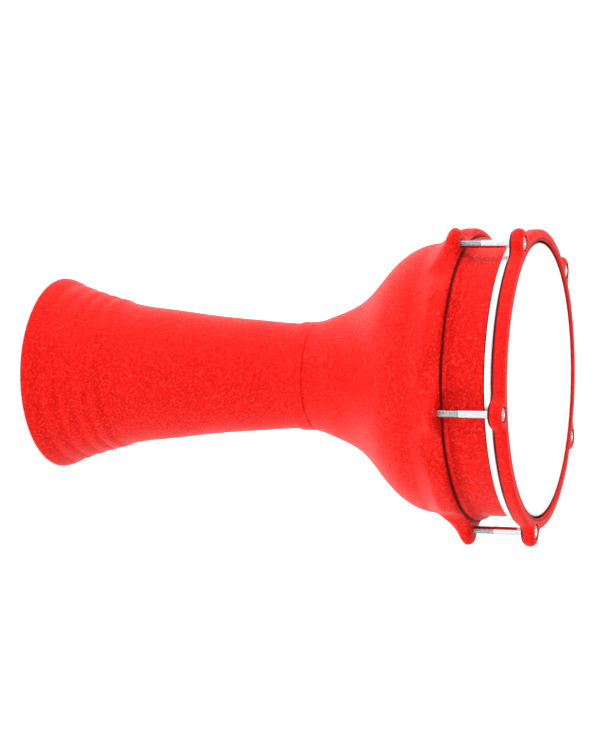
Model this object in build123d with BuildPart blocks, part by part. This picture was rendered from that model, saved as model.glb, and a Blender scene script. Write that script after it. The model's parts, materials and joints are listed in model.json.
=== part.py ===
"""Goblet drum (darbuka) with a five-lug tension rim.

The drum stands on its foot: +Z is the drum's axis, the origin is the centre of the foot's flat
bottom edge, and the playing head is at the top. Millimetres throughout.
"""

import os
from math import acos, cos, degrees, radians, sin

from build123d import *

os.makedirs("parts", exist_ok=True)

# ---- Driving dimensions -------------------------------------------------------------------

WALL = 3.6  # cast aluminium wall of the stem and the bowl

# Foot: a flared bell with five turned ribs
FOOT_RADIUS = 77.3
FOOT_REST_RADIUS = 74.5  # outer edge of the flat ring that the drum stands on
FOOT_LIP_HEIGHT = 2.4
FOOT_LIP_MID = (76.6, 0.95)  # the rounded edge between the flat ring and the lip
FOOT_INNER_RADIUS = 70.6
RIB_CROWN = 1.15  # how far each rib swells above the line through its two grooves
RIB_GROOVES = [(71.4, 14.4), (67.3, 26.7), (63.6, 38.6), (60.6, 49.6), (58.0, 60.2)]

# Stem and neck
NECK_RADIUS = 41.6
NECK_Z = 207.0
STEM_OUTLINE = [(52.0, 100.0), (47.0, 140.0), (43.7, 178.0)]  # between last groove and neck
STEM_OUTLINE_ENDS = [(-0.26, 1), (-0.03, 1)]
STEM_BORE = [(43.0 - WALL, 180.0), (51.4 - WALL, 100.0), (59.0 - WALL, 52.0)]
STEM_BORE_ENDS = [(0, -1), (0.42, -1)]
BAND_RADIUS = 42.7  # raised band round the top of the stem, where the bowl is let in
BAND_BOTTOM_Z = 212.0
BAND_STEP = 1.2
JOINT_Z = 225.0  # the joint between stem and bowl
SPIGOT_RADIUS = 39.4
SPIGOT_BOTTOM_Z = 211.0
JOINT_CHAMFER = 0.7

# Bowl
BOWL_START_RADIUS = 43.2
BOWL_OUTLINE = [(47.5, 240.0), (58.6, 264.0), (77.0, 284.0), (94.0, 300.8), (102.2, 316.5)]
BOWL_OUTLINE_ENDS = [(0.2, 1), (0.04, 1)]
BOWL_BORE = [(98.2, 317.5), (91.0, 303.2), (74.4, 286.8), (55.5, 266.1), (44.0, 241.1)]
BOWL_BORE_ENDS = [(0, -1), (0, -1)]
SHOULDER_RADIUS = 103.9
SHOULDER_Z = 326.5

# Collar that carries the head
COLLAR_RADIUS = 104.3
COLLAR_BORE_RADIUS = 99.4
HOOP_SEAT_RADIUS = 103.5  # the collar where the hoop slides over it
HOOP_SEAT_BOTTOM_Z = 386.6
HOOP_SEAT_CHAMFER = 0.8
BEAD_RADIUS = 107.8
BEAD_TOP_Z = 360.2
BEAD_RUNOUT_Z = 364.6
COLLAR_START_Z = 332.5
COLLAR_BORE_START_Z = 328.0
BEARING_EDGE_Z = 402.2
BEARING_CREST_RADIUS = 100.9
BEARING_MID = (102.45, 400.8)  # the rounded outer shoulder that the film bends over
BEARING_OUTER_Z = 396.6
BEARING_INNER_FALL = 2.0

# Lugs and flange
LUG_COUNT = 5
BOLT_CIRCLE_RADIUS = 115.0
FLANGE_TOP_Z = 355.5
FLANGE_RADIUS = 114.8
FLANGE_LUG_RADIUS = 12.0
FAIRING_TIP_RADIUS = 128.0
FAIRING_TIP_Z = 347.4
FAIRING_MID = (113.6, 340.4)
FLANGE_ROOT_RADIUS = 100.4  # the flange reaches into the wall, so that both fuse
FLANGE_ROOT_Z = 320.5
FLANGE_WAIST_RADIUS = 109.4  # the flange draws in beside each lug
FLANGE_SCOOP = 28.0  # hollow radius that leads from a lug to the waist
FLANGE_SWELL = 30.0  # radius that leads from the waist out to the flange
FLANGE_FRONT_EDGE = 4.2
FLANGE_BACK_EDGE = 3.8

# Tension rim
RIM_RADIUS = 113.5
RIM_LUG_RADIUS = 11.2
RIM_BOTTOM_Z = 393.1
RIM_TOP_Z = 403.8
RIM_OPENING_RADIUS = 105.0
RIM_SEAT_RADIUS = 108.4
RIM_WEB_FILLET = 8.0
RIM_FRONT_EDGE = 3.4
RIM_BACK_EDGE = 4.2
RIM_LIP_EDGE = 0.9

# Head: film in an aluminium channel hoop
FILM_THICKNESS = 0.3
FILM_TOP_Z = BEARING_EDGE_Z + FILM_THICKNESS
FILM_FLAT_RADIUS = 103.1  # where the flat skin and the skirt would meet in a sharp corner
FILM_SKIRT_RADIUS = 104.75
FILM_SKIRT_BOTTOM_Z = 389.6
FILM_EDGE_BEND = 1.9
HOOP_RADIUS = 108.0
HOOP_INNER_RADIUS = 103.75
HOOP_BOTTOM_Z = 387.5
HOOP_TOP_Z = 396.7
HOOP_INNER_WALL = 0.7
HOOP_OUTER_WALL = 0.9
HOOP_FLOOR = 0.9
HOOP_INNER_DROP = 0.6  # the inner wall stops short of the outer wall by this much
HOOP_EDGE = 0.5
RESIN_TOP_Z = 395.6

# M6 x 50 socket head cap screws with small-series washers
BOLT_RADIUS = 3.0
BOLT_LENGTH = 50.0
BOLT_HEAD_RADIUS = 5.0
BOLT_HEAD_HEIGHT = 6.0
BOLT_HEAD_SINK = 0.4  # how far the head sits below the rim's face
BOLT_HEAD_EDGE = 0.6
BOLT_TIP_CHAMFER = 0.8
SOCKET_ACROSS_FLATS = 5.0
SOCKET_DEPTH = 3.0
WASHER_RADIUS = 5.5
WASHER_BORE_RADIUS = 3.2
WASHER_THICKNESS = 1.6
COUNTERBORE_RADIUS = 5.8
CLEARANCE_HOLE_RADIUS = 3.3
TAPPED_HOLE_RADIUS = 3.05  # nominal thread radius and a running clearance
TAPPED_HOLE_DEPTH = 9.0

# ---- Heights that follow from them --------------------------------------------------------

BOLT_HEAD_TOP_Z = RIM_TOP_Z - BOLT_HEAD_SINK
BOLT_SEAT_Z = BOLT_HEAD_TOP_Z - BOLT_HEAD_HEIGHT
COUNTERBORE_FLOOR_Z = BOLT_SEAT_Z - WASHER_THICKNESS
BOLT_TIP_Z = BOLT_SEAT_Z - BOLT_LENGTH


def lug_places(radius=BOLT_CIRCLE_RADIUS):
    """The five lug axes, the first of them on +X."""
    return PolarLocations(radius, LUG_COUNT)


def polar(radius, degrees_round):
    """A point in the plan, from its radius and its angle from +X."""
    return (
        radius * cos(radians(degrees_round)),
        radius * sin(radians(degrees_round)),
    )


def angle_between(side_a, side_b, opposite):
    """The angle in degrees between two sides of a triangle."""
    return degrees(acos((side_a**2 + side_b**2 - opposite**2) / (2 * side_a * side_b)))


def flange_arcs():
    """Start, middle and end of every arc of the flange's outline, lug by lug."""
    scoop_reach = FLANGE_WAIST_RADIUS + FLANGE_SCOOP
    scoop_at = angle_between(BOLT_CIRCLE_RADIUS, scoop_reach, FLANGE_LUG_RADIUS + FLANGE_SCOOP)
    swell_reach = FLANGE_RADIUS - FLANGE_SWELL
    swell_at = scoop_at + angle_between(
        scoop_reach, swell_reach, FLANGE_SCOOP + FLANGE_SWELL
    )
    half_pitch = 180.0 / LUG_COUNT
    scoop = Vector(*polar(scoop_reach, scoop_at))
    lug = Vector(BOLT_CIRCLE_RADIUS, 0)
    swell = Vector(*polar(swell_reach, swell_at))
    lug_end = lug + (scoop - lug).normalized() * FLANGE_LUG_RADIUS
    waist = Vector(*polar(FLANGE_WAIST_RADIUS, scoop_at))
    scoop_end = scoop + (swell - scoop).normalized() * FLANGE_SCOOP
    swell_end = Vector(*polar(FLANGE_RADIUS, swell_at))
    swell_mid = swell + (
        (scoop_end - swell).normalized() + (swell_end - swell).normalized()
    ).normalized() * FLANGE_SWELL
    lug_tip = lug + Vector(FLANGE_LUG_RADIUS, 0)
    middle = Vector(*polar(FLANGE_RADIUS, half_pitch))
    upper = [
        (lug_end, waist, scoop_end),
        (scoop_end, swell_mid, swell_end),
    ]
    lower = [tuple(Vector(point.X, -point.Y) for point in arc) for arc in upper]
    tip = (Vector(lug_end.X, -lug_end.Y), lug_tip, lug_end)
    next_swell = Vector(*polar(FLANGE_RADIUS, 2 * half_pitch - swell_at))
    span = (swell_end, middle, next_swell)
    for number in range(LUG_COUNT):
        for arc in [tip, *upper, *lower, span]:
            yield [point.rotate(Axis.Z, 2 * half_pitch * number) for point in arc]


# ---- Stem: foot, ribs, stem and neck band, one casting ------------------------------------

with BuildPart() as stem_shell:
    with BuildSketch(Plane.XZ):
        with BuildLine():
            Line((FOOT_INNER_RADIUS, 0), (FOOT_REST_RADIUS, 0))
            ThreePointArc((FOOT_REST_RADIUS, 0), FOOT_LIP_MID, (FOOT_RADIUS, FOOT_LIP_HEIGHT))
            previous = (FOOT_RADIUS, FOOT_LIP_HEIGHT)
            for groove in RIB_GROOVES:
                crest = (
                    (previous[0] + groove[0]) / 2 + RIB_CROWN,
                    (previous[1] + groove[1]) / 2,
                )
                ThreePointArc(previous, crest, groove)
                previous = groove
            Spline(previous, *STEM_OUTLINE, (NECK_RADIUS, NECK_Z), tangents=STEM_OUTLINE_ENDS)
            Polyline(
                (NECK_RADIUS, NECK_Z),
                (NECK_RADIUS, BAND_BOTTOM_Z),
                (BAND_RADIUS, BAND_BOTTOM_Z + BAND_STEP),
                (BAND_RADIUS, JOINT_Z - JOINT_CHAMFER),
                (BAND_RADIUS - JOINT_CHAMFER, JOINT_Z),
                (SPIGOT_RADIUS, JOINT_Z),
                (SPIGOT_RADIUS, SPIGOT_BOTTOM_Z),
                (NECK_RADIUS - WALL, SPIGOT_BOTTOM_Z),
            )
            Spline(
                (NECK_RADIUS - WALL, SPIGOT_BOTTOM_Z),
                *STEM_BORE,
                (FOOT_INNER_RADIUS, 0),
                tangents=STEM_BORE_ENDS,
            )
        make_face()
    revolve(axis=Axis.Z)

# ---- Bowl: neck spigot, bowl wall, flange with lugs, and the collar, one casting ----------

with BuildPart() as flange:
    with BuildSketch(Plane.XZ):
        with BuildLine():
            Line((FLANGE_ROOT_RADIUS, FLANGE_ROOT_Z), (SHOULDER_RADIUS, SHOULDER_Z))
            ThreePointArc(
                (SHOULDER_RADIUS, SHOULDER_Z), FAIRING_MID, (FAIRING_TIP_RADIUS, FAIRING_TIP_Z)
            )
            Polyline(
                (FAIRING_TIP_RADIUS, FAIRING_TIP_Z),
                (FAIRING_TIP_RADIUS, FLANGE_TOP_Z),
                (FLANGE_ROOT_RADIUS, FLANGE_TOP_Z),
                (FLANGE_ROOT_RADIUS, FLANGE_ROOT_Z),
            )
        make_face()
    revolve(axis=Axis.Z)
    with BuildSketch(Plane.XY.offset(FLANGE_ROOT_Z)):
        with BuildLine():
            for start, middle, end in flange_arcs():
                ThreePointArc(start, middle, end)
        make_face()
    extrude(amount=FLANGE_TOP_Z - FLANGE_ROOT_Z, mode=Mode.INTERSECT)
    fillet(flange.faces().sort_by(Axis.Z)[-1].outer_wire().edges(), FLANGE_FRONT_EDGE)
    # the edges where the upright walls of the outline run down onto the fairing cone
    back_edges = flange.edges().filter_by(
        lambda edge: edge.bounding_box().min.Z > COLLAR_START_Z
        and edge.bounding_box().max.Z < FLANGE_TOP_Z - 2 * FLANGE_BACK_EDGE
    )
    fillet(back_edges, FLANGE_BACK_EDGE)

with BuildPart() as bowl_shell:
    with BuildSketch(Plane.XZ):
        with BuildLine():
            Polyline(
                (SPIGOT_RADIUS - WALL, SPIGOT_BOTTOM_Z),
                (SPIGOT_RADIUS, SPIGOT_BOTTOM_Z),
                (SPIGOT_RADIUS, JOINT_Z),
                (BOWL_START_RADIUS - JOINT_CHAMFER, JOINT_Z),
                (BOWL_START_RADIUS, JOINT_Z + JOINT_CHAMFER),
            )
            Spline(
                (BOWL_START_RADIUS, JOINT_Z + JOINT_CHAMFER),
                *BOWL_OUTLINE,
                (SHOULDER_RADIUS, SHOULDER_Z),
                tangents=BOWL_OUTLINE_ENDS,
            )
            Polyline(
                (SHOULDER_RADIUS, SHOULDER_Z),
                (COLLAR_RADIUS, COLLAR_START_Z),
                (COLLAR_RADIUS, FLANGE_TOP_Z),
                (BEAD_RADIUS, FLANGE_TOP_Z),
                (BEAD_RADIUS, BEAD_TOP_Z),
                (COLLAR_RADIUS, BEAD_RUNOUT_Z),
                (COLLAR_RADIUS, HOOP_SEAT_BOTTOM_Z - HOOP_SEAT_CHAMFER),
                (HOOP_SEAT_RADIUS, HOOP_SEAT_BOTTOM_Z),
                (HOOP_SEAT_RADIUS, BEARING_OUTER_Z),
            )
            ThreePointArc(
                (HOOP_SEAT_RADIUS, BEARING_OUTER_Z),
                BEARING_MID,
                (BEARING_CREST_RADIUS, BEARING_EDGE_Z),
            )
            Polyline(
                (BEARING_CREST_RADIUS, BEARING_EDGE_Z),
                (COLLAR_BORE_RADIUS, BEARING_EDGE_Z - BEARING_INNER_FALL),
                (COLLAR_BORE_RADIUS, COLLAR_BORE_START_Z),
            )
            Spline(
                (COLLAR_BORE_RADIUS, COLLAR_BORE_START_Z),
                *BOWL_BORE,
                (SPIGOT_RADIUS - WALL, SPIGOT_BOTTOM_Z),
                tangents=BOWL_BORE_ENDS,
            )
        make_face()
    revolve(axis=Axis.Z)
    add(flange.part)
    with Locations((0, 0, FLANGE_TOP_Z)):
        with lug_places():
            Hole(TAPPED_HOLE_RADIUS, TAPPED_HOLE_DEPTH)

# ---- Head: film, channel hoop and the resin that locks them together ----------------------

with BuildPart() as drumhead_film:
    with BuildSketch(Plane.XZ):
        with BuildLine():
            FilletPolyline(
                (0, FILM_TOP_Z),
                (FILM_FLAT_RADIUS, FILM_TOP_Z),
                (FILM_SKIRT_RADIUS, HOOP_TOP_Z),
                (FILM_SKIRT_RADIUS, FILM_SKIRT_BOTTOM_Z),
                radius=FILM_EDGE_BEND,
            )
            offset(amount=FILM_THICKNESS, side=Side.RIGHT)
        make_face()
    revolve(axis=Axis.Z)

with BuildPart() as head_hoop:
    with BuildSketch(Plane.XZ):
        with BuildLine():
            Polyline(
                (HOOP_INNER_RADIUS, HOOP_BOTTOM_Z),
                (HOOP_RADIUS, HOOP_BOTTOM_Z),
                (HOOP_RADIUS, HOOP_TOP_Z),
                (HOOP_RADIUS - HOOP_OUTER_WALL, HOOP_TOP_Z),
                (HOOP_RADIUS - HOOP_OUTER_WALL, HOOP_BOTTOM_Z + HOOP_FLOOR),
                (HOOP_INNER_RADIUS + HOOP_INNER_WALL, HOOP_BOTTOM_Z + HOOP_FLOOR),
                (HOOP_INNER_RADIUS + HOOP_INNER_WALL, HOOP_TOP_Z - HOOP_INNER_DROP),
                (HOOP_INNER_RADIUS, HOOP_TOP_Z - HOOP_INNER_DROP),
                close=True,
            )
        make_face()
    revolve(axis=Axis.Z)
    fillet(head_hoop.edges().filter_by(GeomType.CIRCLE).group_by(Axis.Z)[0][-1], HOOP_EDGE)

with BuildPart() as hoop_resin:
    with BuildSketch(Plane.XZ):
        with Locations((FILM_SKIRT_RADIUS, HOOP_BOTTOM_Z + HOOP_FLOOR)):
            Rectangle(
                HOOP_RADIUS - HOOP_OUTER_WALL - FILM_SKIRT_RADIUS,
                RESIN_TOP_Z - HOOP_BOTTOM_Z - HOOP_FLOOR,
                align=(Align.MIN, Align.MIN),
            )
    revolve(axis=Axis.Z)

# ---- Tension rim --------------------------------------------------------------------------

with BuildPart() as tension_rim:
    with BuildSketch(Plane.XY.offset(RIM_BOTTOM_Z)) as rim_outline:
        Circle(RIM_RADIUS)
        with lug_places():
            Circle(RIM_LUG_RADIUS)
        fillet(rim_outline.vertices(), RIM_WEB_FILLET)
    extrude(amount=RIM_TOP_Z - RIM_BOTTOM_Z)
    fillet(tension_rim.faces().sort_by(Axis.Z)[-1].edges(), RIM_FRONT_EDGE)
    fillet(tension_rim.faces().sort_by(Axis.Z)[0].edges(), RIM_BACK_EDGE)
    with BuildSketch(Plane.XY.offset(RIM_BOTTOM_Z)):
        Circle(RIM_OPENING_RADIUS)
    extrude(amount=RIM_TOP_Z - RIM_BOTTOM_Z, mode=Mode.SUBTRACT)
    fillet(
        tension_rim.faces().sort_by(Axis.Z)[-1].inner_wires()[0].edges(),
        RIM_LIP_EDGE,
    )
    with BuildSketch(Plane.XY.offset(RIM_BOTTOM_Z)):
        Circle(RIM_SEAT_RADIUS)
    extrude(amount=HOOP_TOP_Z - RIM_BOTTOM_Z, mode=Mode.SUBTRACT)
    with Locations((0, 0, RIM_TOP_Z)):
        with lug_places():
            CounterBoreHole(
                CLEARANCE_HOLE_RADIUS, COUNTERBORE_RADIUS, RIM_TOP_Z - COUNTERBORE_FLOOR_Z
            )

# ---- Tension bolts and washers, one pair for each lug -------------------------------------

with BuildPart() as bolt:
    with BuildSketch(Plane.XY.offset(BOLT_TIP_Z)):
        Circle(BOLT_RADIUS)
    extrude(amount=BOLT_LENGTH)
    chamfer(bolt.faces().sort_by(Axis.Z)[0].edges(), BOLT_TIP_CHAMFER)
    with BuildSketch(Plane.XY.offset(BOLT_SEAT_Z)):
        Circle(BOLT_HEAD_RADIUS)
    extrude(amount=BOLT_HEAD_HEIGHT)
    fillet(bolt.faces().sort_by(Axis.Z)[-1].edges(), BOLT_HEAD_EDGE)
    with BuildSketch(Plane.XY.offset(BOLT_HEAD_TOP_Z)):
        RegularPolygon(SOCKET_ACROSS_FLATS / 2, 6, major_radius=False)
    extrude(amount=-SOCKET_DEPTH, mode=Mode.SUBTRACT)

with BuildPart() as washer:
    with BuildSketch(Plane.XY.offset(COUNTERBORE_FLOOR_Z)):
        Circle(WASHER_RADIUS)
        Circle(WASHER_BORE_RADIUS, mode=Mode.SUBTRACT)
    extrude(amount=WASHER_THICKNESS)

# ---- Labels and files ---------------------------------------------------------------------

for name, piece in [
    ("bowl_shell", bowl_shell),
    ("stem_shell", stem_shell),
    ("drumhead_film", drumhead_film),
    ("head_hoop", head_hoop),
    ("hoop_resin", hoop_resin),
    ("tension_rim", tension_rim),
]:
    piece.part.label = name
    export_step(piece.part, f"parts/{name}.step")

for number in range(1, LUG_COUNT + 1):
    angle = radians(360.0 / LUG_COUNT * (number - 1))
    lug = Location((BOLT_CIRCLE_RADIUS * cos(angle), BOLT_CIRCLE_RADIUS * sin(angle), 0))
    for kind, piece in [("tension_bolt", bolt), ("bolt_washer", washer)]:
        placed = piece.part.moved(lug)
        placed.label = f"{kind}_{number}"
        export_step(placed, f"parts/{kind}_{number}.step")
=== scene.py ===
"""Goblet drum: visual model and studio scene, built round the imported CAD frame."""

import json
from math import acos, atan2, cos, degrees, hypot, pi, radians, sin, sqrt, tan

import bmesh
import bpy
import numpy as np
from mathutils import Matrix, Vector


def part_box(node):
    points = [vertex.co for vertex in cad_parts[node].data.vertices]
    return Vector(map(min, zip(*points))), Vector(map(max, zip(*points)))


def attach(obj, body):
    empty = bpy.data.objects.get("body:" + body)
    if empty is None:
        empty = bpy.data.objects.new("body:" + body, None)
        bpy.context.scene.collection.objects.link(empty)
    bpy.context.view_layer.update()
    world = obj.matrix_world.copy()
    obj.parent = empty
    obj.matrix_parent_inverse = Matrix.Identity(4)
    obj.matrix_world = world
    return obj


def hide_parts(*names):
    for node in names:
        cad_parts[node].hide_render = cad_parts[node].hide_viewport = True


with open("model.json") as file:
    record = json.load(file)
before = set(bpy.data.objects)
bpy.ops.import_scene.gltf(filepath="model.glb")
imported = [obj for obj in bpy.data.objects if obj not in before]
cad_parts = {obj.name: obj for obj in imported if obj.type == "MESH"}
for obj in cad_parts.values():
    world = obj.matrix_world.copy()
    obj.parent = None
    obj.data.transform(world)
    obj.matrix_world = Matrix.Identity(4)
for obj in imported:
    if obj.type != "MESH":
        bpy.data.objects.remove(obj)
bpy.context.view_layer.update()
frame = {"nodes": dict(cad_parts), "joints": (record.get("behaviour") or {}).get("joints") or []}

MM = 0.001  # outlines below are in millimetres, meshes in metres

# ---- Places taken from the frame ----------------------------------------------------------


def box_mm(node):
    """A CAD node's lowest and highest corners in millimetres."""
    low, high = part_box(node)
    return [v / MM for v in low], [v / MM for v in high]


BOLT_AXES = [
    (joint["pos_m"][0] / MM, joint["pos_m"][1] / MM)
    for joint in frame["joints"]
    if joint["name"].startswith("bolt_")
]
LUGS = len(BOLT_AXES)
BOLT_CIRCLE = hypot(*BOLT_AXES[0])

(_, _, RIM_BACK), (rim_reach, _, RIM_FRONT) = box_mm("tension_rim")
(_, _, HOOP_BOTTOM), (HOOP_RADIUS, _, HOOP_TOP) = box_mm("head_hoop")
(_, _, SKIRT_BOTTOM), (SKIRT_RADIUS, _, SKIN_TOP) = box_mm("drumhead_film")
(_, _, SPIGOT_BOTTOM), (bowl_reach, _, BEARING_EDGE) = box_mm("bowl_shell")
(_, _, FOOT_BOTTOM), (FOOT_RADIUS, _, JOINT) = box_mm("stem_shell")
(_, _, BOLT_TIP), (_, _, BOLT_TOP) = box_mm("tension_bolt_1")
(_, _, WASHER_BOTTOM), (_, _, BOLT_SEAT) = box_mm("bolt_washer_1")

RIM_LUG = rim_reach - BOLT_CIRCLE
FLANGE_LUG = bowl_reach - BOLT_CIRCLE

# ---- Mesh helpers -------------------------------------------------------------------------


def mesh_object(name, vertices, faces, sharp_angle=32.0):
    """A mesh object from millimetre points, smooth except where faces meet sharply."""
    mesh = bpy.data.meshes.new(name)
    mesh.from_pydata((np.asarray(vertices, float) * MM).tolist(), [], faces)
    mesh.validate()
    obj = bpy.data.objects.new(name, mesh)
    bpy.context.scene.collection.objects.link(obj)
    tidy_mesh(obj, sharp_angle)
    return obj


def tidy_mesh(obj, sharp_angle=32.0):
    """Welds doubles, points every face outwards and marks the sharp edges."""
    bm = bmesh.new()
    bm.from_mesh(obj.data)
    bmesh.ops.remove_doubles(bm, verts=bm.verts, dist=1e-7)
    bmesh.ops.dissolve_degenerate(bm, edges=bm.edges, dist=1e-8)
    bmesh.ops.recalc_face_normals(bm, faces=bm.faces)
    limit = radians(sharp_angle)
    for face in bm.faces:
        face.smooth = True
    for edge in bm.edges:
        if len(edge.link_faces) == 2:
            edge.smooth = edge.calc_face_angle(0.0) < limit
    bm.to_mesh(obj.data)
    bm.free()


def swept(name, rings, closed=True, sharp_angle=32.0):
    """Skins a stack of equal closed rings; closed also joins the last ring to the first."""
    rings = np.asarray(rings, float)
    count, columns = rings.shape[:2]
    index = np.arange(count * columns).reshape(count, columns)
    below = index if closed else index[:-1]
    above = np.roll(index, -1, axis=0) if closed else index[1:]
    quads = np.stack(
        [below, np.roll(below, -1, axis=1), np.roll(above, -1, axis=1), above], axis=-1
    )
    return mesh_object(name, rings.reshape(-1, 3), quads.reshape(-1, 4).tolist(), sharp_angle)


def turned(name, profile, columns, centre=(0.0, 0.0), sharp_angle=32.0):
    """A solid of revolution from a closed (radius, height) profile."""
    around = np.linspace(0.0, 2 * pi, columns, endpoint=False)
    profile = np.asarray(profile, float)
    rings = np.empty((len(profile), columns, 3))
    rings[..., 0] = centre[0] + profile[:, :1] * np.cos(around)
    rings[..., 1] = centre[1] + profile[:, :1] * np.sin(around)
    rings[..., 2] = profile[:, 1:]
    return swept(name, rings, True, sharp_angle)


def line(start, end, steps):
    """Points from start up to, but not including, end."""
    t = np.arange(steps)[:, None] / steps
    return (1 - t) * np.asarray(start, float) + t * np.asarray(end, float)


def arc(centre, radius, start_deg, end_deg, steps):
    """Points along an arc, both ends included."""
    a = np.radians(np.linspace(start_deg, end_deg, steps + 1))
    return np.stack([centre[0] + radius * np.cos(a), centre[1] + radius * np.sin(a)], 1)


def through(start, mid, end, steps):
    """Points along the arc through three points, end excluded."""
    (ax, ay), (bx, by), (cx, cy) = start, mid, end
    d = 2 * (ax * (by - cy) + bx * (cy - ay) + cx * (ay - by))
    a2, b2, c2 = ax * ax + ay * ay, bx * bx + by * by, cx * cx + cy * cy
    ux = (a2 * (by - cy) + b2 * (cy - ay) + c2 * (ay - by)) / d
    uy = (a2 * (cx - bx) + b2 * (ax - cx) + c2 * (bx - ax)) / d
    radius = hypot(ax - ux, ay - uy)
    first, middle, last = (atan2(y - uy, x - ux) for x, y in (start, mid, end))
    turn = (last - first + pi) % (2 * pi) - pi
    half = (middle - first + pi) % (2 * pi) - pi
    if turn * half < 0:
        turn += 2 * pi if turn < 0 else -2 * pi
    a = first + turn * np.arange(steps) / steps
    return np.stack([ux + radius * np.cos(a), uy + radius * np.sin(a)], 1)


def smooth_line(points, steps, start_slope, end_slope):
    """A smooth curve through (radius, height) points, the last one excluded.

    It is a cubic spline over the chord length with the given end directions.
    """
    points = np.asarray(points, float)
    chord = np.linalg.norm(np.diff(points, axis=0), axis=1)
    knots = np.concatenate([[0.0], np.cumsum(chord)])
    n = len(points)
    system = np.zeros((n, n))
    right = np.zeros((n, 2))
    system[0, 0] = system[-1, -1] = 1.0
    right[0] = np.asarray(start_slope, float) / np.linalg.norm(start_slope)
    right[-1] = np.asarray(end_slope, float) / np.linalg.norm(end_slope)
    for i in range(1, n - 1):
        before, after = chord[i - 1], chord[i]
        system[i, i - 1 : i + 2] = after, 2 * (before + after), before
        right[i] = 3 * (
            after / before * (points[i] - points[i - 1])
            + before / after * (points[i + 1] - points[i])
        )
    slopes = np.linalg.solve(system, right)
    at = np.linspace(0.0, knots[-1], steps, endpoint=False)
    span = np.clip(np.searchsorted(knots, at, side="right") - 1, 0, n - 2)
    h = chord[span][:, None]
    t = ((at - knots[span]) / chord[span])[:, None]
    return (
        (2 * t**3 - 3 * t**2 + 1) * points[span]
        + (t**3 - 2 * t**2 + t) * h * slopes[span]
        + (3 * t**2 - 2 * t**3) * points[span + 1]
        + (t**3 - t**2) * h * slopes[span + 1]
    )


def lug_outline(ring, lug, web, spacing):
    """Points and outward normals round a ring with one rounded lug on every bolt axis.

    ring and lug are radii, web is the radius that blends a lug into the ring.
    """
    # the web's centre lies outside the ring and outside the lug
    web_centre = meeting(0.0, ring + web, BOLT_CIRCLE, lug + web)
    web_angle = atan2(web_centre[1], web_centre[0])
    lug_end = atan2(web_centre[1], web_centre[0] - BOLT_CIRCLE)
    return round_the_lugs(
        [
            arc_points((BOLT_CIRCLE, 0.0), lug, 0.0, lug_end, spacing, 1),
            arc_points(web_centre, web, lug_end + pi, web_angle + pi, spacing, -1),
            arc_points((0.0, 0.0), ring, web_angle, pi / LUGS, spacing, 1),
        ]
    )


def waisted_outline(ring, lug, waist, scoop, swell, spacing):
    """Like lug_outline, for a ring that draws in to a waist beside every lug.

    scoop is the hollow radius at the waist, swell the radius that leads out to the ring.
    """
    scoop_centre = meeting(0.0, waist + scoop, BOLT_CIRCLE, lug + scoop)
    scoop_angle = atan2(scoop_centre[1], scoop_centre[0])
    lug_end = atan2(scoop_centre[1], scoop_centre[0] - BOLT_CIRCLE)
    reach = ring - swell
    across = (reach**2 + (waist + scoop) ** 2 - (scoop + swell) ** 2) / (
        2 * reach * (waist + scoop)
    )
    swell_angle = scoop_angle + acos(across)
    swell_centre = (reach * cos(swell_angle), reach * sin(swell_angle))
    turn = atan2(swell_centre[1] - scoop_centre[1], swell_centre[0] - scoop_centre[0])
    swell_start = turn + pi - 2 * pi * (turn > 0)
    return round_the_lugs(
        [
            arc_points((BOLT_CIRCLE, 0.0), lug, 0.0, lug_end, spacing, 1),
            arc_points(scoop_centre, scoop, lug_end + pi, turn % (2 * pi), spacing, -1),
            arc_points(swell_centre, swell, swell_start, swell_angle, spacing, 1),
            arc_points((0.0, 0.0), ring, swell_angle, pi / LUGS, spacing, 1),
        ]
    )


def meeting(first, first_reach, second, second_reach):
    """The upper point at given distances from two places on the X axis."""
    gap = second - first
    along = (gap**2 + first_reach**2 - second_reach**2) / (2 * gap)
    return first + along, sqrt(first_reach**2 - along**2)


def arc_points(centre, radius, start, end, spacing, outward):
    """Rows of x, y and outward normal along an arc from start up to, not including, end."""
    steps = max(4, round(radius * abs(end - start) / spacing))
    a = np.linspace(start, end, steps, endpoint=False)
    x, y = np.cos(a), np.sin(a)
    return np.stack(
        [centre[0] + radius * x, centre[1] + radius * y, outward * x, outward * y], axis=1
    )


def round_the_lugs(upper_half):
    """The half outline beside the first lug, mirrored and repeated on every lug."""
    upper = np.concatenate(upper_half)
    half = pi / LUGS
    last = np.array([[cos(half), sin(half)]]) * np.linalg.norm(upper[-1, :2])
    upper = np.concatenate([upper, np.concatenate([last, last / np.linalg.norm(last)], axis=1)])
    lower = upper[1:-1][::-1] * (1, -1, 1, -1)
    one = np.concatenate([lower, upper])
    rows = []
    for axis_x, axis_y in BOLT_AXES:
        a = atan2(axis_y, axis_x)
        turn = np.array([[cos(a), sin(a)], [-sin(a), cos(a)]])
        rows.append(np.concatenate([one[:, :2] @ turn, one[:, 2:] @ turn], axis=1))
    rows = np.concatenate(rows)
    return rows[:, :2], rows[:, 2:]


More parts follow.
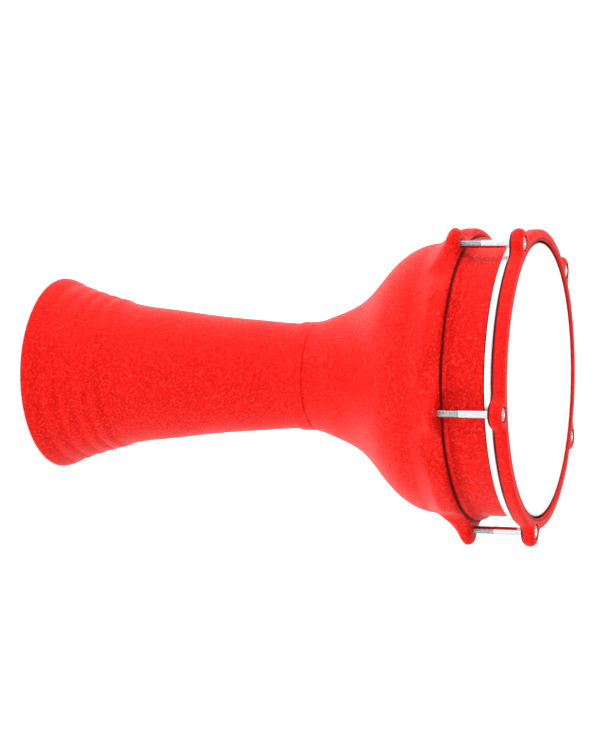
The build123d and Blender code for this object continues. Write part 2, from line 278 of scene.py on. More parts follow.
class Ringed:
    """Collects the rings of a swept solid whose columns follow a lug outline."""

    def __init__(self, points, normals):
        self.points = points
        self.normals = normals
        self.radius = np.linalg.norm(points, axis=1)
        self.unit = points / self.radius[:, None]
        nearest = np.min([np.hypot(*(points - axis).T) for axis in BOLT_AXES], axis=0)
        away = np.clip((nearest - 12.2) / 9.0, 0.0, 1.0)
        self.lugness = 1.0 - away * away * (3 - 2 * away)  # 1 on a lug, 0 along the ring
        self.rings = []

    def add(self, flat, height):
        """A ring at flat (x, y) positions, at one height or one height for each column."""
        ring = np.empty((len(self.points), 3))
        ring[:, :2] = flat
        ring[:, 2] = height
        self.rings.append(ring)

    def circles(self, profile):
        """One round ring for each (radius, height)."""
        for radius, height in profile:
            self.add(self.unit * radius, height)

    def inset(self, distance):
        """The outline moved inwards by one distance, or by one for each column."""
        return self.points - self.normals * np.reshape(distance, (-1, 1))


def cut(obj, cutter):
    """Subtracts cutter from obj and deletes it."""
    modifier = obj.modifiers.new("cut", "BOOLEAN")
    modifier.operation = "DIFFERENCE"
    modifier.solver = "EXACT"
    modifier.object = cutter
    bpy.context.view_layer.update()
    done = bpy.data.meshes.new_from_object(
        obj.evaluated_get(bpy.context.evaluated_depsgraph_get())
    )
    obj.modifiers.clear()
    obj.data = done
    bpy.data.objects.remove(cutter)
    tidy_mesh(obj)


def joined(name, objects):
    """One object from several, with the meshes simply side by side."""
    bm = bmesh.new()
    for obj in objects:
        bm.from_mesh(obj.data)
        bpy.data.objects.remove(obj)
    mesh = bpy.data.meshes.new(name)
    bm.to_mesh(mesh)
    bm.free()
    together = bpy.data.objects.new(name, mesh)
    bpy.context.scene.collection.objects.link(together)
    return together


# ---- Stem casting -------------------------------------------------------------------------

RIB_GROOVES = [(71.4, 14.4), (67.3, 26.7), (63.6, 38.6), (60.6, 49.6), (58.0, 60.2)]


def make_stem():
    wall = 3.6
    neck, neck_height = 41.6, 207.0
    band, band_bottom = 42.7, 212.0
    spigot_bore, spigot_floor = 39.4, JOINT - 14.0
    mouth, rest = 70.6, 74.5
    lip_height = 2.4
    rib_crown = 1.15
    groove_radius = 0.7
    profile = [line((mouth, 0.5), (mouth + 0.5, 0.0), 2), line((mouth + 0.5, 0.0), (rest, 0.0), 3)]
    profile.append(
        through((rest, 0.0), (FOOT_RADIUS - 0.7, lip_height * 0.4), (FOOT_RADIUS, lip_height), 8)
    )
    previous = (FOOT_RADIUS, lip_height)
    for groove in RIB_GROOVES:
        crest = (
            (previous[0] + groove[0]) / 2 + rib_crown,
            (previous[1] + groove[1]) / 2,
        )
        profile.append(through(previous, crest, groove, 14))
        previous = groove
    stem_line = [previous, (52.0, 100.0), (47.0, 140.0), (43.7, 178.0), (neck, neck_height)]
    profile.append(smooth_line(stem_line, 60, (-0.26, 1), (-0.03, 1)))
    profile.append(line((neck, neck_height), (neck, band_bottom - 0.6), 3))
    profile.append(
        smooth_line([(neck, band_bottom - 0.6), (band, band_bottom + 1.3)], 6, (0, 1), (0.0, 1))
    )
    profile.append(line((band, band_bottom + 1.3), (band, JOINT - 1.1), 6))
    profile.append(arc((band - 1.1, JOINT - 1.1), 1.1, 0.0, 80.0, 6))
    profile.append(line((band - 1.1, JOINT - 0.02), (spigot_bore, JOINT - 0.02), 2))
    profile.append(line((spigot_bore, JOINT - 0.02), (spigot_bore, spigot_floor), 4))
    profile.append(line((spigot_bore, spigot_floor), (neck - wall, spigot_floor), 2))
    bore_line = [
        (neck - wall, spigot_floor),
        (43.0 - wall, 180.0),
        (51.4 - wall, 100.0),
        (59.0 - wall, 52.0),
        (mouth, 0.5),
    ]
    profile.append(smooth_line(bore_line, 46, (0, -1), (0.42, -1)))
    return turned("stem_casting", soften_grooves(np.concatenate(profile), groove_radius), 300)


def soften_grooves(profile, radius):
    """Rounds each rib groove by averaging the profile near it, as the paint does."""
    softened = profile.copy()
    for groove in RIB_GROOVES:
        distance = np.hypot(profile[:, 0] - groove[0], profile[:, 1] - groove[1])
        near = int(distance.argmin())
        neighbours = (profile[near - 1] + profile[near + 1]) / 2
        softened[near] = 0.45 * profile[near] + 0.55 * neighbours
    return softened


# ---- Bowl casting -------------------------------------------------------------------------

FLANGE_FRONT = 355.5
FLANGE_RING = 114.8
SHOULDER = (103.9, 326.5)
FAIRING_MID = (113.6, 340.4)
FAIRING_TIP = (128.0, 347.4)


def fairing_height(radius):
    """Height of the cone-like fairing behind the flange at a radius."""
    table = np.concatenate([through(SHOULDER, FAIRING_MID, FAIRING_TIP, 40), [FAIRING_TIP]])
    return np.interp(radius, table[:, 0], table[:, 1])


def make_bowl():
    wall = 3.6
    spigot = 39.4
    start = 43.2
    collar, bore = 104.3, 99.4
    hoop_seat, hoop_seat_bottom = 103.5, 386.6
    bead, bead_top, bead_runout = 107.8, 360.2, 364.6
    points, normals = waisted_outline(FLANGE_RING, FLANGE_LUG, 109.4, 28.0, 30.0, 2.2)
    body = Ringed(points, normals)
    back_edge = 4.0 + 5.6 * body.lugness
    edge_rise = 4.0 + 0.8 * body.lugness
    edge_width = np.clip(body.radius - bead - 0.9, 0.4, edge_rise)
    body.circles(line((spigot - wall, SPIGOT_BOTTOM), (spigot, SPIGOT_BOTTOM), 2))
    body.circles(line((spigot, SPIGOT_BOTTOM), (spigot, JOINT), 4))
    body.circles(line((spigot, JOINT), (start - 1.0, JOINT), 2))
    body.circles(arc((start - 1.1, JOINT + 1.1), 1.1, -85.0, -8.0, 5))
    bowl_line = [
        (start, JOINT + 1.6),
        (47.5, 240.0),
        (58.6, 264.0),
        (77.0, 284.0),
        (94.0, 300.8),
        (102.2, 316.5),
        SHOULDER,
    ]
    body.circles(smooth_line(bowl_line, 68, (0.2, 1), (0.10, 1)))
    # fairing from the shoulder out to the flange's edge
    inner = body.unit * SHOULDER[0]
    fairing_rim = body.inset(back_edge)
    for t in np.linspace(0.0, 1.0, 9)[:-1]:
        flat = inner * (1 - t) + fairing_rim * t
        body.add(flat, fairing_height(np.linalg.norm(flat, axis=1)))
    edge_bottom = FLANGE_FRONT - edge_rise
    foot = np.column_stack([fairing_rim, fairing_height(np.linalg.norm(fairing_rim, axis=1))])
    corner = np.column_stack([points, fairing_height(body.radius)])
    top = corner.copy()
    top[:, 2] = np.minimum(corner[:, 2] + back_edge * 0.9, edge_bottom - 0.3)
    for t in np.linspace(0.0, 1.0, 9):
        ring = (1 - t) ** 2 * foot + 2 * t * (1 - t) * corner + t**2 * top
        body.add(ring[:, :2], ring[:, 2])
    body.add(points, (top[:, 2] + edge_bottom) / 2)
    for a in np.radians(np.linspace(0.0, 90.0, 9)):
        body.add(body.inset(edge_width * (1 - cos(a))), edge_bottom + edge_rise * sin(a))
    outer = body.inset(edge_width)
    bead_foot = body.unit * (bead + 0.6)
    for t in (0.4, 0.8):
        body.add(outer * (1 - t) + bead_foot * t, FLANGE_FRONT)
    body.circles(arc((bead + 0.6, FLANGE_FRONT + 0.6), 0.6, -90.0, -180.0, 4))
    body.circles(line((bead, FLANGE_FRONT + 1.0), (bead, bead_top - 1.2), 3))
    bead_crown = arc((bead - 1.2, bead_top - 1.2), 1.2, 0.0, 50.0, 4)
    body.circles(bead_crown)
    body.circles(
        smooth_line([bead_crown[-1], (collar, bead_runout)], 8, (-0.7, 0.6), (-0.15, 1))
    )
    body.circles(line((collar, bead_runout + 0.5), (collar, hoop_seat_bottom - 0.8), 12))
    body.circles(line((collar, hoop_seat_bottom - 0.8), (hoop_seat, hoop_seat_bottom), 2))
    body.circles(line((hoop_seat, hoop_seat_bottom), (hoop_seat, 396.6), 6))
    body.circles(through((hoop_seat, 396.6), (hoop_seat - 1.05, 400.8), (100.9, BEARING_EDGE), 10))
    body.circles(line((100.9, BEARING_EDGE), (bore, BEARING_EDGE - 2.0), 3))
    body.circles(line((bore, BEARING_EDGE - 2.0), (bore, SHOULDER[1] + 1.5), 14))
    bowl_bore = [
        (bore, SHOULDER[1] + 1.5),
        (98.2, 317.5),
        (91.0, 303.2),
        (74.4, 286.8),
        (55.5, 266.1),
        (44.0, 241.1),
        (spigot - wall, SPIGOT_BOTTOM),
    ]
    body.circles(smooth_line(bowl_bore, 44, (0, -1), (0, -1)))
    casting = swept("bowl_casting", body.rings)
    tapped = 3.05
    floor = FLANGE_FRONT - 9.0
    hole = np.concatenate(
        [
            line((0.01, floor - 1.2), (tapped, floor), 2),
            line((tapped, floor), (tapped, FLANGE_FRONT - 0.5), 2),
            line((tapped, FLANGE_FRONT - 0.5), (tapped + 1.0, FLANGE_FRONT + 0.5), 2),
            line((tapped + 1.0, FLANGE_FRONT + 0.5), (0.01, FLANGE_FRONT + 0.5), 2),
        ]
    )
    cutters = [turned("hole", hole, 40, axis) for axis in BOLT_AXES]
    cut(casting, joined("holes", cutters))
    return casting


# ---- Tension rim --------------------------------------------------------------------------


def make_rim():
    ring = 113.5
    opening, seat = 105.0, 108.4
    lip_edge = 0.9
    points, normals = lug_outline(ring, RIM_LUG, 8.0, 1.6)
    body = Ringed(points, normals)
    front_edge = 2.6 + 1.8 * body.lugness
    back_edge = 3.6 + 1.9 * body.lugness
    body.circles(line((opening, HOOP_TOP), (opening, RIM_FRONT - lip_edge), 6))
    body.circles(
        arc((opening + lip_edge, RIM_FRONT - lip_edge), lip_edge, 180.0, 90.0, 7)
    )
    lip = body.unit * (opening + lip_edge)
    rim_face = body.inset(front_edge)
    for t in (0.33, 0.67):
        body.add(lip * (1 - t) + rim_face * t, RIM_FRONT)
    for a in np.radians(np.linspace(90.0, 0.0, 10)):
        body.add(
            body.inset(front_edge * (1 - cos(a))), RIM_FRONT - front_edge * (1 - sin(a))
        )
    body.add(points, (RIM_FRONT - front_edge + RIM_BACK + back_edge) / 2)
    for a in np.radians(np.linspace(0.0, 90.0, 10)):
        body.add(
            body.inset(back_edge * (1 - cos(a))), RIM_BACK + back_edge * (1 - sin(a))
        )
    back_face = body.inset(back_edge)
    seat_mouth = body.unit * (seat + 0.4)
    body.add(back_face * 0.5 + seat_mouth * 0.5, RIM_BACK)
    body.circles([(seat + 0.4, RIM_BACK), (seat, RIM_BACK + 0.4), (seat, RIM_BACK + 2.0)])
    body.circles([(seat, HOOP_TOP), (opening + 1.6, HOOP_TOP)])
    rim = swept("tension_rim_casting", body.rings)
    bore, counterbore = 3.3, 5.8
    break_edge = 0.45
    hole = np.concatenate(
        [
            line((0.01, RIM_BACK - 2.0), (bore + break_edge, RIM_BACK - 2.0), 2),
            [(bore + break_edge, RIM_BACK - 0.0), (bore, RIM_BACK + break_edge)],
            line((bore, WASHER_BOTTOM - 0.3), (bore, WASHER_BOTTOM), 1),
            line((bore, WASHER_BOTTOM), (counterbore, WASHER_BOTTOM), 1),
            [(counterbore, WASHER_BOTTOM), (counterbore, RIM_FRONT - break_edge)],
            [(counterbore + break_edge * 2, RIM_FRONT + break_edge)],
            [(0.01, RIM_FRONT + break_edge)],
        ]
    )
    cutters = [turned("hole", hole, 64, axis) for axis in BOLT_AXES]
    cut(rim, joined("holes", cutters))
    return rim


# ---- Drumhead: film and hoop --------------------------------------------------------------


def make_film():
    thick = 0.3
    corner = 103.1
    bend = 1.9
    lean = atan2(SKIRT_RADIUS - corner, SKIN_TOP - HOOP_TOP)  # of the skirt from upright
    sweep = pi / 2 - lean
    tangent = bend * tan(sweep / 2)
    centre = (corner - tangent, SKIN_TOP - bend)
    top_radii = [0.5, 10, 20, 30, 40, 50, 60, 70, 80, 88, 94, 98, 100]
    outside = [(r, SKIN_TOP) for r in top_radii]
    outside += arc(centre, bend, 90.0, degrees(lean), 10).tolist()
    outside += [(SKIRT_RADIUS, HOOP_TOP - 0.3), (SKIRT_RADIUS, SKIRT_BOTTOM)]
    inside = [(SKIRT_RADIUS - thick, SKIRT_BOTTOM), (SKIRT_RADIUS - thick, HOOP_TOP - 0.3)]
    inside += arc(centre, bend - thick, degrees(lean), 90.0, 10).tolist()
    inside += [(r, SKIN_TOP - thick) for r in reversed(top_radii)]
    columns = 240
    around = np.linspace(0.0, 2 * pi, columns, endpoint=False)
    profile = np.array(outside + inside)
    rings = np.empty((len(profile), columns, 3))
    rings[..., 0] = profile[:, :1] * np.cos(around)
    rings[..., 1] = profile[:, :1] * np.sin(around)
    rings[..., 2] = profile[:, 1:]
    film = swept("head_film", rings, closed=False)
    bm = bmesh.new()
    bm.from_mesh(film.data)
    bmesh.ops.holes_fill(bm, edges=[e for e in bm.edges if e.is_boundary], sides=0)
    for face in bm.faces:
        face.smooth = True
    bm.to_mesh(film.data)
    bm.free()
    tidy_mesh(film)
    return film


def make_hoop():
    inner = 103.75
    inner_wall, outer_wall, floor = 0.7, 0.9, 0.9
    edge = 0.5
    profile = [
        line((inner, HOOP_BOTTOM + 0.3), (inner + 0.3, HOOP_BOTTOM), 2),
        line((inner + 0.3, HOOP_BOTTOM), (HOOP_RADIUS - edge, HOOP_BOTTOM), 3),
        arc((HOOP_RADIUS - edge, HOOP_BOTTOM + edge), edge, -90.0, 0.0, 5),
        line((HOOP_RADIUS, HOOP_BOTTOM + edge + 0.2), (HOOP_RADIUS, HOOP_TOP - 0.3), 6),
        arc((HOOP_RADIUS - 0.25, HOOP_TOP - 0.25), 0.25, 0.0, 90.0, 3),
        arc((HOOP_RADIUS - outer_wall + 0.25, HOOP_TOP - 0.25), 0.25, 90.0, 180.0, 3),
        [(HOOP_RADIUS - outer_wall, HOOP_BOTTOM + floor)],
        [(inner + inner_wall, HOOP_BOTTOM + floor), (inner + inner_wall, HOOP_TOP - 0.7)],
        [(inner + inner_wall - 0.1, HOOP_TOP - 0.6), (inner, HOOP_TOP - 0.6)],
    ]
    return turned("channel_hoop", np.concatenate(profile), 300)


# ---- Tension bolts ------------------------------------------------------------------------

PITCH = 1.0  # M6 coarse
THREAD_LENGTH = 24.0


def thread_radius(height, angle, major):
    """Radius of a right-hand metric thread at a height above the tip and an angle."""
    minor = major - 0.61 * PITCH
    phase = (height / PITCH - angle / (2 * pi)) % 1.0
    ridge = np.clip(1.35 - abs(phase - 0.5) * 3.0, 0.0, 1.0)
    runout = np.clip((THREAD_LENGTH - height) / (1.5 * PITCH), 0.0, 1.0)
    tip = np.clip(height / 0.8, 0.0, 1.0)
    crest = major - 0.8 * (1 - tip)
    shank = major - 0.05
    radius = minor + (crest - minor) * ridge
    radius = np.minimum(radius, crest)
    return radius * runout + shank * (1 - runout)


def make_bolt(number, centre):
    major = 3.0
    head, socket = 5.0, 2.5
    depth = 3.0
    columns = 48
    around = np.linspace(0.0, 2 * pi, columns, endpoint=False)
    turned_by = number * 0.9  # every bolt stopped at its own angle
    rings = []

    def ring(radius, height):
        row = np.empty((columns, 3))
        row[:, 0] = centre[0] + radius * np.cos(around)
        row[:, 1] = centre[1] + radius * np.sin(around)
        row[:, 2] = height
        rings.append(row)

    ring(0.05, BOLT_TIP)
    ring(1.2, BOLT_TIP)
    for h in np.arange(0.0, THREAD_LENGTH + 0.01, PITCH / 10):
        ring(thread_radius(h, around - turned_by, major), BOLT_TIP + h)
    for h in (0.3, 8.0, 18.0):
        ring(major - 0.05, BOLT_TIP + THREAD_LENGTH + h)
    ring(major - 0.05, BOLT_SEAT - 0.5)
    ring(major + 0.1, BOLT_SEAT - 0.15)
    ring(major + 0.4, BOLT_SEAT)
    ring(head - 0.3, BOLT_SEAT)
    ring(head, BOLT_SEAT + 0.3)
    ring(head, BOLT_TOP - 0.9)
    for a in np.radians(np.linspace(0.0, 90.0, 6)):
        ring(head - 0.75 * (1 - cos(a)), BOLT_TOP - 0.75 * (1 - sin(a)))
    ring(3.3, BOLT_TOP)
    corner = socket / cos(pi / 6)
    sector = (around - turned_by + pi / 6) % (pi / 3) - pi / 6
    hexagon = socket / np.cos(sector)
    ring(corner + 0.05, BOLT_TOP)
    ring(np.maximum(hexagon, corner - 0.15), BOLT_TOP - 0.12)
    ring(hexagon, BOLT_TOP - 0.45)
    ring(hexagon, BOLT_TOP - depth)
    ring(1.2, BOLT_TOP - depth - 0.25)
    ring(0.05, BOLT_TOP - depth - 0.6)
    bolt = swept(f"cap_screw_{number}", rings, closed=False)
    bm = bmesh.new()
    bm.from_mesh(bolt.data)
    bmesh.ops.holes_fill(bm, edges=[e for e in bm.edges if e.is_boundary], sides=0)
    bm.to_mesh(bolt.data)
    bm.free()
    tidy_mesh(bolt, 40.0)
    return bolt


# ---- Materials ----------------------------------------------------------------------------


class Nodes:
    """A short way to write a node material on a Principled shader."""

    def __init__(self, name):
        self.material = bpy.data.materials.new(name)
        self.material.use_nodes = True
        self.tree = self.material.node_tree
        self.tree.nodes.clear()
        self.output = self.tree.nodes.new("ShaderNodeOutputMaterial")
        self.shader = self.tree.nodes.new("ShaderNodeBsdfPrincipled")
        self.link(self.shader.outputs["BSDF"], self.output.inputs["Surface"])
        coordinates = self.tree.nodes.new("ShaderNodeTexCoord")
        self.place = coordinates.outputs["Object"]

    def link(self, source, target):
        self.tree.links.new(source, target)

    def set(self, **values):
        """Constants on the shader's own sockets; underscores stand for spaces."""
        for key, value in values.items():
            self.shader.inputs[key.replace("_", " ")].default_value = value

    def node(self, kind, inputs=None, **settings):
        node = self.tree.nodes.new("ShaderNode" + kind)
        for key, value in settings.items():
            setattr(node, key, value)
        for key, value in (inputs or {}).items():
            if isinstance(value, bpy.types.NodeSocket):
                self.link(value, node.inputs[key])
            else:
                node.inputs[key].default_value = value
        return node

    def noise(self, scale, detail, roughness, place=None):
        return self.node(
            "TexNoise",
            {
                "Vector": place or self.place,
                "Scale": scale,
                "Detail": detail,
                "Roughness": roughness,
            },
        ).outputs["Fac"]

    def math(self, operation, a, b):
        return self.node("Math", {0: a, 1: b}, operation=operation).outputs[0]

    def spread(self, value, low, high, to_low=0.0, to_high=1.0):
        """value from low..high mapped to to_low..to_high, clamped."""
        return self.node(
            "MapRange",
            {
                "Value": value,
                "From Min": low,
                "From Max": high,
                "To Min": to_low,
                "To Max": to_high,
            },
        ).outputs["Result"]

    def blend(self, factor, a, b):
        return self.node("Mix", {"Factor": factor, 6: a, 7: b}, data_type="RGBA").outputs[2]

    def bump(self, height, distance, strength):
        inputs = {"Height": height, "Distance": distance, "Strength": strength}
        return self.node("Bump", inputs).outputs["Normal"]


# Painted shade: a colour made darker in corners and crevices, where shade falls.
def crevice_shade(m, colour, dark, reach, closed, clear):
    """colour, going over to dark where other surfaces stand closer than reach.

    closed and clear are the shares of open sky at which it is all dark and all colour.
    """
    open_sky = m.node("AmbientOcclusion", {"Distance": reach}, samples=6).outputs["AO"]
    return m.blend(m.spread(open_sky, closed, clear), dark, colour)


def radius_and_height(m):
    """Distance from the drum's axis and height, both in metres."""
    parts = m.node("SeparateXYZ", {"Vector": m.place}).outputs
    flat = m.node("CombineXYZ", {"X": parts[0], "Y": parts[1], "Z": 0.0}).outputs["Vector"]
    return m.node("VectorMath", {0: flat}, operation="LENGTH").outputs["Value"], parts[2]


def band(m, value, start, end, blur):
    """1 where value lies from start to end (mm), fading to 0 over blur outside."""
    rise = m.spread(value, (start - blur) * MM, start * MM)
    fall = m.spread(value, end * MM, (end + blur) * MM, 1.0, 0.0)
    return m.math("MULTIPLY", rise, fall)


def red_powder_coat(name, cell_mm, relief_mm, painted_shade_lines=()):
    """Leather-grain powder coat: soft raised cells with narrow wandering creases.

    The dark lines are (lowest radius, highest radius, lowest height, highest height, amount)
    in millimetres: painted shade, dark bands where shade falls in a corner or gap.
    """
    m = Nodes(name)
    warp = m.node("TexNoise", {"Vector": m.place, "Scale": 190.0, "Detail": 2.0}).outputs["Color"]
    warped = m.node(
        "MixRGB", {"Fac": 0.0036, "Color1": m.place, "Color2": warp}, blend_type="ADD"
    ).outputs["Color"]
    scale = 1000.0 / cell_mm
    crease = m.node(
        "TexVoronoi", {"Vector": warped, "Scale": scale}, feature="DISTANCE_TO_EDGE"
    ).outputs["Distance"]
    fine = m.noise(scale * 1.1, 3.0, 0.62)
    broad = m.noise(scale * 0.3, 2.0, 0.5)
    pillow = m.spread(crease, 0.0, 0.24)
    depth = m.spread(broad, 0.35, 0.60, 0.65, 1.0)  # creases come and go over the surface
    crease_relief = m.math("MULTIPLY", pillow, depth)
    relief = m.math("ADD", crease_relief, m.math("MULTIPLY", fine, 1.6))
    m.link(m.bump(relief, relief_mm * MM, 1.0), m.shader.inputs["Normal"])

    # The dark red below is painted shade for the grain's creases and hollows.
    shaded_red = (0.55, 0.001, 0.001, 1)
    tone = m.noise(9.0, 3.0, 0.55)
    base = m.blend(m.spread(tone, 0.3, 0.7), (0.88, 0.0080, 0.004, 1), (0.95, 0.0100, 0.005, 1))
    shade = m.math("MULTIPLY", m.math("SUBTRACT", 1.0, pillow), depth)
    colour = m.blend(m.math("MULTIPLY", shade, 0.58), base, shaded_red)
    colour = m.blend(m.spread(fine, 0.32, 0.47, 0.50, 0.0), colour, shaded_red)
    # painted highlight: the tops of the cells are painted a lighter pink.
    colour = m.blend(m.spread(fine, 0.53, 0.70, 0.0, 0.8), colour, (1.0, 0.050, 0.040, 1))
    # painted shade: darker where other surfaces stand close, in corners and grooves.
    colour = crevice_shade(m, colour, (0.14, 0.0012, 0.001, 1), 0.0045, 0.22, 0.58)
    radius, height = radius_and_height(m)
    # painted shade: each band darkens the coat in a corner or gap.
    for inner, outer, low, high, amount in painted_shade_lines:
        across = band(m, radius, inner, outer, 1.0)
        along = band(m, height, low, high, 0.8)
        share = m.math("MULTIPLY", m.math("MULTIPLY", across, along), amount)
        colour = m.blend(share, colour, (0.05, 0.002, 0.003, 1))
    m.link(colour, m.shader.inputs["Base Color"])
    m.link(m.spread(fine, 0.25, 0.75, 0.32, 0.50), m.shader.inputs["Roughness"])
    m.set(IOR=1.5, Specular_IOR_Level=0.08)
    return m.material


def head_film_material():
    """Coated polyester film: very even white, greyed where it bends over the bearing edge."""
    m = Nodes("white_head_film")
    grain = m.noise(900.0, 3.0, 0.6)
    cloud = m.noise(14.0, 2.0, 0.5)
    m.link(m.bump(grain, 0.00006, 0.6), m.shader.inputs["Normal"])
    white = m.blend(m.spread(cloud, 0.3, 0.7), (0.93, 0.93, 0.93, 1), (0.96, 0.96, 0.96, 1))
    # painted shade: the film turns dark where it bends down into the gap under the rim.
    edge_shade = m.spread(radius_and_height(m)[0], 0.1029, 0.1034)
    m.link(m.blend(edge_shade, white, (0.20, 0.16, 0.16, 1)), m.shader.inputs["Base Color"])
    m.link(m.spread(grain, 0.3, 0.7, 0.42, 0.55), m.shader.inputs["Roughness"])
    m.set(IOR=1.5)
    return m.material


def round_brushed(m, lines_per_metre):
    """Height that varies only across the turning direction: fine circular brush lines."""
    radius, height = radius_and_height(m)
    stretched = m.node("CombineXYZ", {"X": radius, "Y": height, "Z": 0.0}).outputs["Vector"]
    return m.noise(lines_per_metre, 2.0, 0.7, stretched)


def hoop_material():
    m = Nodes("hoop_aluminium")
    lines = round_brushed(m, 2600.0)
    m.link(m.bump(lines, 0.00003, 0.5), m.shader.inputs["Normal"])
    silver = m.blend(m.spread(lines, 0.3, 0.7), (0.86, 0.87, 0.88, 1), (0.95, 0.95, 0.96, 1))
    # painted shade on the hoop where the rim overhangs it.
    shaded = crevice_shade(m, silver, (0.03, 0.02, 0.02, 1), 0.0026, 0.58, 0.90)
    m.link(shaded, m.shader.inputs["Base Color"])
    m.link(m.spread(lines, 0.3, 0.7, 0.24, 0.36), m.shader.inputs["Roughness"])
    m.set(Metallic=1.0)
    return m.material


def chrome_material():
    m = Nodes("chromed_steel")
    haze = m.noise(700.0, 3.0, 0.6)
    m.link(m.spread(haze, 0.3, 0.75, 0.12, 0.24), m.shader.inputs["Roughness"])
    bright = m.blend(m.spread(haze, 0.3, 0.7), (0.80, 0.81, 0.83, 1), (0.90, 0.91, 0.92, 1))
    # painted shade in the socket and round the head where the counterbore closes in.
    head = crevice_shade(m, bright, (0.03, 0.03, 0.04, 1), 0.0025, 0.12, 0.45)
    on_head = m.spread(radius_and_height(m)[1], BOLT_SEAT * MM, (BOLT_SEAT + 0.2) * MM)
    # painted shade: below the head the shank and thread are painted a darker grey than the head.
    shank_shade = m.blend(m.spread(haze, 0.3, 0.7), (0.52, 0.53, 0.55, 1), (0.64, 0.65, 0.67, 1))
    m.link(m.blend(on_head, shank_shade, head), m.shader.inputs["Base Color"])
    m.set(Metallic=1.0, Specular_Tint=(0.45, 0.45, 0.47, 1.0))
    return m.material


def washer_material():
    m = Nodes("plated_washer")
    grain = m.noise(1500.0, 2.0, 0.6)
    m.link(m.bump(grain, 0.00004, 0.5), m.shader.inputs["Normal"])
    m.link(m.spread(grain, 0.3, 0.7, 0.28, 0.42), m.shader.inputs["Roughness"])
    m.link(
        m.blend(grain, (0.52, 0.53, 0.55, 1), (0.62, 0.63, 0.64, 1)), m.shader.inputs["Base Color"]
    )
    m.set(Metallic=1.0)
    return m.material


def resin_material():
    m = Nodes("hoop_resin")
    cloud = m.noise(180.0, 3.0, 0.5)
    m.link(m.spread(cloud, 0.3, 0.7, 0.25, 0.45), m.shader.inputs["Roughness"])
    m.link(
        m.blend(cloud, (0.45, 0.33, 0.16, 1), (0.58, 0.46, 0.25, 1)), m.shader.inputs["Base Color"]
    )
    return m.material


def dress(obj, material):
    obj.data.materials.clear()
    obj.data.materials.append(material)


# ---- Camera -------------------------------------------------------------------------------

CAMERA_AZIMUTH = 5.34  # degrees round the drum from -Y towards +X
CAMERA_REACH = 1.4828
CAMERA_HEIGHT = 0.7615
AIM = (-0.00065, -0.00006, 0.2082)
CAMERA_ROLL = 90.88  # the picture lies on its side: the drum's head points to the right
LENS = 96.17


def make_camera():
    data = bpy.data.cameras.new("camera")
    data.lens = LENS
    data.sensor_width = 36.0
    camera = bpy.data.objects.new("camera", data)
    bpy.context.scene.collection.objects.link(camera)
    a = radians(CAMERA_AZIMUTH)
    camera.location = (CAMERA_REACH * sin(a), -CAMERA_REACH * cos(a), CAMERA_HEIGHT)
    aim = (Vector(AIM) - camera.location).to_track_quat("-Z", "Y")
    roll = Matrix.Rotation(radians(CAMERA_ROLL), 4, "Z")
    camera.rotation_euler = (aim.to_matrix().to_4x4() @ roll).to_euler()
    bpy.context.scene.camera = camera


# ---- Studio -------------------------------------------------------------------------------


def make_floor():
    bpy.ops.mesh.primitive_plane_add(size=30.0, location=(0, 0, 0))
    floor = bpy.context.object
    floor.name = "floor"
    m = Nodes("studio_floor")
    mottle = m.noise(3.0, 2.0, 0.5)
    m.link(
        m.blend(mottle, (0.93, 0.93, 0.93, 1), (0.95, 0.95, 0.95, 1)), m.shader.inputs["Base Color"]
    )
    m.set(Roughness=0.9, Emission_Color=(1.0, 1.0, 1.0, 1.0), Emission_Strength=0.60)
    dress(floor, m.material)


def area_light(name, place, aim, size, power):
    data = bpy.data.lights.new(name, "AREA")
    data.shape = "RECTANGLE"
    data.size, data.size_y = size
    data.energy = power
    light = bpy.data.objects.new(name, data)
    bpy.context.scene.collection.objects.link(light)
    light.location = place
    light.rotation_euler = (Vector(aim) - Vector(place)).to_track_quat("-Z", "Y").to_euler()


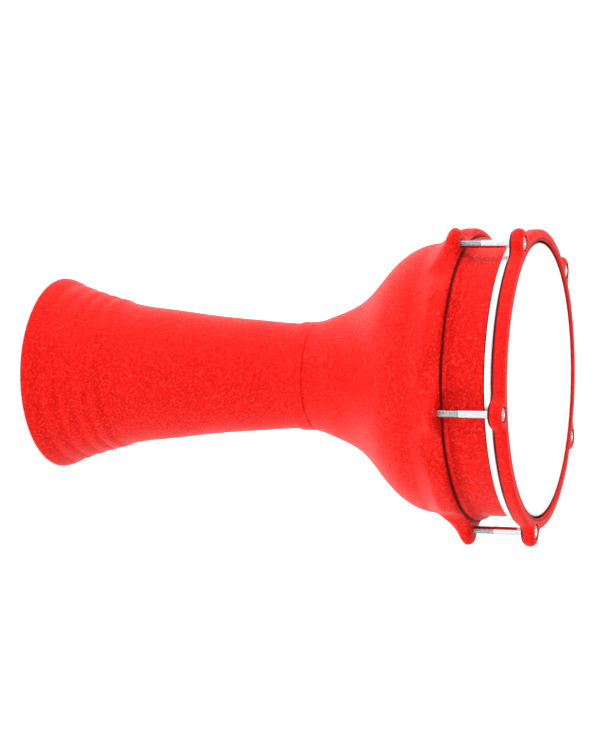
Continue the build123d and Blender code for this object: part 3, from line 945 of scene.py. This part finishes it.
def make_lights():
    middle = (0.0, 0.0, 0.22)
    area_light("key", (-1.9, -0.4, 1.0), middle, (1.0, 1.0), 19.0)
    area_light("front_fill", (0.0, -2.3, 1.4), middle, (1.6, 1.6), 6.0)
    area_light("low_fill", (1.9, -0.9, 0.9), middle, (1.4, 1.4), 8.0)
    area_light("overhead", (-0.2, 0.3, 2.2), middle, (1.6, 1.6), 21.0)
    world = bpy.data.worlds.new("studio")
    world.use_nodes = True
    tree = world.node_tree
    background = tree.nodes["Background"]
    background.inputs["Color"].default_value = (1.0, 1.0, 1.0, 1.0)
    coordinates = tree.nodes.new("ShaderNodeTexCoord")
    parts = tree.nodes.new("ShaderNodeSeparateXYZ")
    tree.links.new(coordinates.outputs["Generated"], parts.inputs[0])
    ramp = tree.nodes.new("ShaderNodeMapRange")  # bright walls, dim ceiling
    for name, value in {"From Min": 0.42, "From Max": 0.75, "To Min": 0.85, "To Max": 0.25}.items():
        ramp.inputs[name].default_value = value
    tree.links.new(parts.outputs["Z"], ramp.inputs["Value"])
    tree.links.new(ramp.outputs["Result"], background.inputs["Strength"])
    bpy.context.scene.world = world


def show_colours_plainly():
    settings = bpy.context.scene.view_settings
    settings.view_transform = "Standard"
    settings.look = "None"
    settings.exposure = 0.0


# ---- Making the scene ---------------------------------------------------------------------

make_camera()
make_floor()
make_lights()
show_colours_plainly()

# Painted shade: dark bands in the flange's groove, along the rim's lip and under the rim's back
# edge.
FLANGE_GROOVE_SHADE = (106.5, 109.4, FLANGE_FRONT - 0.6, FLANGE_FRONT + 0.8, 0.85)
RIM_LIP_SHADE = (106.2, 106.4, RIM_FRONT - 0.6, RIM_FRONT + 1.0, 0.85)
RIM_BACK_SHADE = (108.0, 140.0, RIM_BACK - 1.0, RIM_BACK + 2.2, 0.95)

bowl_paint = red_powder_coat("red_powder_coat_bowl", 2.7, 0.40, [FLANGE_GROOVE_SHADE])
stem_paint = red_powder_coat("red_powder_coat_stem", 2.4, 0.30)
rim_paint = red_powder_coat("red_powder_coat_rim", 1.7, 0.18, [RIM_LIP_SHADE, RIM_BACK_SHADE])
film_white = head_film_material()
aluminium = hoop_material()
chrome = chrome_material()
washer_steel = washer_material()

for piece, body, node, material, slot in [
    (make_bowl(), "drum_body", "bowl_shell", bowl_paint, "red_powder_coat"),
    (make_stem(), "drum_body", "stem_shell", stem_paint, "red_powder_coat"),
    (make_rim(), "rim", "tension_rim", rim_paint, "red_powder_coat"),
    (make_film(), "drum_body", "drumhead_film", film_white, "white_head_film"),
    (make_hoop(), "drum_body", "head_hoop", aluminium, "hoop_aluminium"),
]:
    dress(piece, material)
    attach(piece, body)
    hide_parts(node)

for number, axis in enumerate(BOLT_AXES, start=1):
    bolt = make_bolt(number, axis)
    dress(bolt, chrome)
    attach(bolt, f"bolt_{number}")
    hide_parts(f"tension_bolt_{number}")
    dress(frame["nodes"][f"bolt_washer_{number}"], washer_steel)

dress(frame["nodes"]["hoop_resin"], resin_material())
